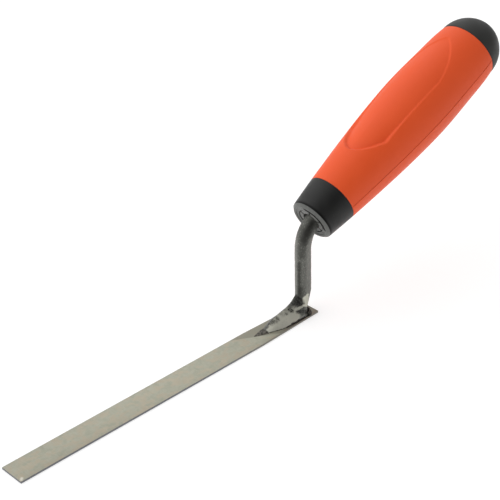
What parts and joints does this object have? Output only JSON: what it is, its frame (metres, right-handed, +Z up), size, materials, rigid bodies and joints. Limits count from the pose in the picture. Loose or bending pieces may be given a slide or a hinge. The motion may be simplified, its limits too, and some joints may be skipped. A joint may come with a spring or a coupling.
{
  "type": "margin trowel",
  "caption": "Narrow-bladed margin trowel: long flat steel strip blade welded to a cranked round tang in a soft-grip handle with a thumb panel and a domed butt.",
  "frame": {"origin": "on the blade's underside, straight below the axis of the tang's upright", "axes": "+X along the blade towards its tip, +Y to the tool's left, +Z up away from the blade's underside"},
  "size_m": [0.297, 0.0348, 0.113],
  "materials": {
    "blade_steel": "ground strip steel, matt and faintly mottled",
    "forged_steel": "dark forging scale with small ground patches",
    "weld_metal": "burnt weld metal, rough",
    "black_plastic": "satin moulded, hard",
    "grey_plastic": "plain moulded, hard",
    "orange_grip": "satin soft-touch overmould"
  },
  "bodies": {
    "root": {"blade": "blade_steel", "tang": "forged_steel", "heel_weld": "weld_metal", "left_side_weld": "weld_metal", "right_side_weld": "weld_metal", "toe_weld": "weld_metal", "handle_core": "black_plastic", "tang_socket": "grey_plastic", "grip_sleeve": "orange_grip", "butt_cap": "black_plastic"}
  },
  "joints": []
}
